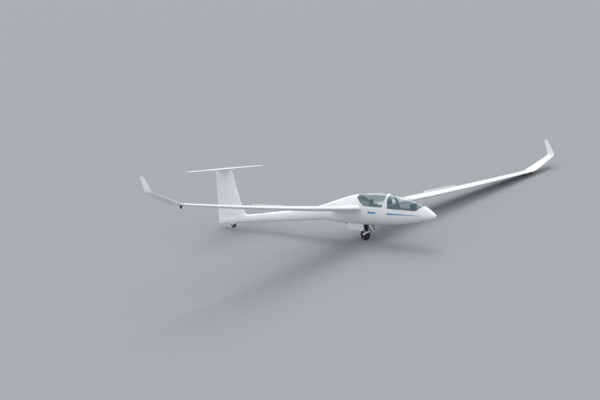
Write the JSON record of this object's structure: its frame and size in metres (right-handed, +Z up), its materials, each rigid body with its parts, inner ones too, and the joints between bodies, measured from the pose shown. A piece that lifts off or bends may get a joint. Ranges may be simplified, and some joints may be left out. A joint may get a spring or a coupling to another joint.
{
  "type": "two-seat sailplane",
  "caption": "White T-tail sailplane with long upswept wings, winglets, tandem cockpit under two hinged canopies, airbrakes and a sprung main wheel.",
  "frame": {"origin": "centre of the footprint's bounding box, on the ground", "axes": "+X towards the nose, +Y to the port wing tip, +Z up"},
  "size_m": [8.7076, 19.7604, 4.1488],
  "materials": {
    "gelcoat": "polished white gelcoat over composite",
    "canopy_glass": "clear acrylic with a light green tint",
    "dark_metal": "dark grey paint",
    "light_metal": "satin alloy",
    "tyre": "black tyre rubber",
    "black_rubber": "solid black rubber on a plain hub",
    "seat_lining": "matt grey composite",
    "black_plastic": "matt black",
    "cushion_cloth": "dark blue-grey woven cloth"
  },
  "bodies": {
    "airframe": {"fuselage_cockpit": "gelcoat", "fuselage_centre": "gelcoat", "tail_boom": "gelcoat", "fin": "gelcoat", "stabiliser": "gelcoat", "tail_wheel_fairing": "gelcoat", "nose_vent": "black_plastic", "tow_hook_nose": "dark_metal", "tow_hook_belly": "dark_metal", "gear_leg_frame": "dark_metal", "gear_swing_arm": "light_metal", "main_axle": "light_metal", "tail_axle": "light_metal", "seat_front": "seat_lining", "cushion_front": "cushion_cloth", "headrest_front": "black_plastic", "panel_front": "black_plastic", "stick_front": "black_plastic", "seat_rear": "seat_lining", "cushion_rear": "cushion_cloth", "headrest_rear": "black_plastic", "panel_rear": "black_plastic", "stick_rear": "black_plastic", "wing_port": "gelcoat", "wing_tip_port": "gelcoat", "winglet_port": "gelcoat", "wing_wheel_fork_port": "dark_metal", "shock_strut_port": "light_metal", "gear_door_port": "gelcoat", "wing_starboard": "gelcoat", "wing_tip_starboard": "gelcoat", "winglet_starboard": "gelcoat", "wing_wheel_fork_starboard": "dark_metal", "shock_strut_starboard": "light_metal", "gear_door_starboard": "gelcoat"},
    "front_canopy": {"front_canopy_frame": "gelcoat", "front_canopy_glass": "canopy_glass"},
    "rear_canopy": {"rear_canopy_frame": "gelcoat", "rear_canopy_glass": "canopy_glass"},
    "aileron_port": {"aileron_port": "gelcoat"},
    "aileron_starboard": {"aileron_starboard": "gelcoat"},
    "airbrake_port": {"airbrake_port": "gelcoat"},
    "airbrake_starboard": {"airbrake_starboard": "gelcoat"},
    "rudder": {"rudder": "gelcoat"},
    "elevator": {"elevator": "gelcoat"},
    "main_wheel": {"main_tyre": "tyre", "main_rim": "dark_metal"},
    "tail_wheel": {"tail_wheel": "black_rubber"},
    "wing_wheel_port": {"wing_wheel_port": "black_rubber"},
    "wing_wheel_starboard": {"wing_wheel_starboard": "black_rubber"}
  },
  "joints": [
    {"name": "front_canopy_hinge", "type": "hinge", "parent": "airframe", "child": "front_canopy", "pos_m": [3.6358, -0.55555, 1.05742], "axis": [0.9977, 0.0654, -0.018], "range_deg": [0, 75]},
    {"name": "rear_canopy_hinge", "type": "hinge", "parent": "airframe", "child": "rear_canopy", "pos_m": [2.42887, -0.61629, 1.07403], "axis": [0.9956, 0, 0.0942], "range_deg": [0, 65]},
    {"name": "aileron_port_hinge", "type": "hinge", "parent": "airframe", "child": "aileron_port", "pos_m": [0.98542, 4.93997, 0.3407], "axis": [0.067, 0.9951, -0.0722], "range_deg": [-20, 20]},
    {"name": "aileron_starboard_hinge", "type": "hinge", "parent": "airframe", "child": "aileron_starboard", "pos_m": [0.81887, -5.30939, 2.10105], "axis": [-0.0352, 0.9638, -0.2643], "range_deg": [-20, 20]},
    {"name": "airbrake_port_slide", "type": "slide", "parent": "airframe", "child": "airbrake_port", "axis": [-0.0937, 0.1011, 0.9904], "range_m": [-0.045, 0.045]},
    {"name": "airbrake_starboard_slide", "type": "slide", "parent": "airframe", "child": "airbrake_starboard", "axis": [-0.0915, 0.238, 0.9669], "range_m": [-0.045, 0.045]},
    {"name": "rudder_hinge", "type": "hinge", "parent": "airframe", "child": "rudder", "pos_m": [-4.00781, -0.29405, 0.11971], "axis": [-0.1041, 0.17, 0.9799], "range_deg": [-30, 30]},
    {"name": "elevator_hinge", "type": "hinge", "parent": "airframe", "child": "elevator", "pos_m": [-4.11969, -0.01082, 1.75821], "axis": [0.016, 0.9854, -0.1693], "range_deg": [-18, 25]},
    {"name": "main_wheel_axle", "type": "hinge", "parent": "airframe", "child": "main_wheel", "pos_m": [1.6081, -0.37616, 0.17296], "axis": [0.016, 0.9854, -0.1693], "continuous": true},
    {"name": "tail_wheel_axle", "type": "hinge", "parent": "airframe", "child": "tail_wheel", "pos_m": [-3.59309, -0.30612, 0.08867], "axis": [0.016, 0.9854, -0.1693], "continuous": true},
    {"name": "wing_wheel_port_axle", "type": "hinge", "parent": "airframe", "child": "wing_wheel_port", "pos_m": [1.39155, 8.23029, 0.0412], "axis": [0.016, 0.9854, -0.1693], "continuous": true},
    {"name": "wing_wheel_starboard_axle", "type": "hinge", "parent": "airframe", "child": "wing_wheel_starboard", "pos_m": [1.11932, -8.52224, 2.91847], "axis": [0.016, 0.9854, -0.1693], "continuous": true}
  ],
  "couplings": [
    {"joint": "aileron_starboard_hinge", "follows": "aileron_port_hinge", "ratio": -1},
    {"joint": "airbrake_starboard_slide", "follows": "airbrake_port_slide", "ratio": 1}
  ]
}
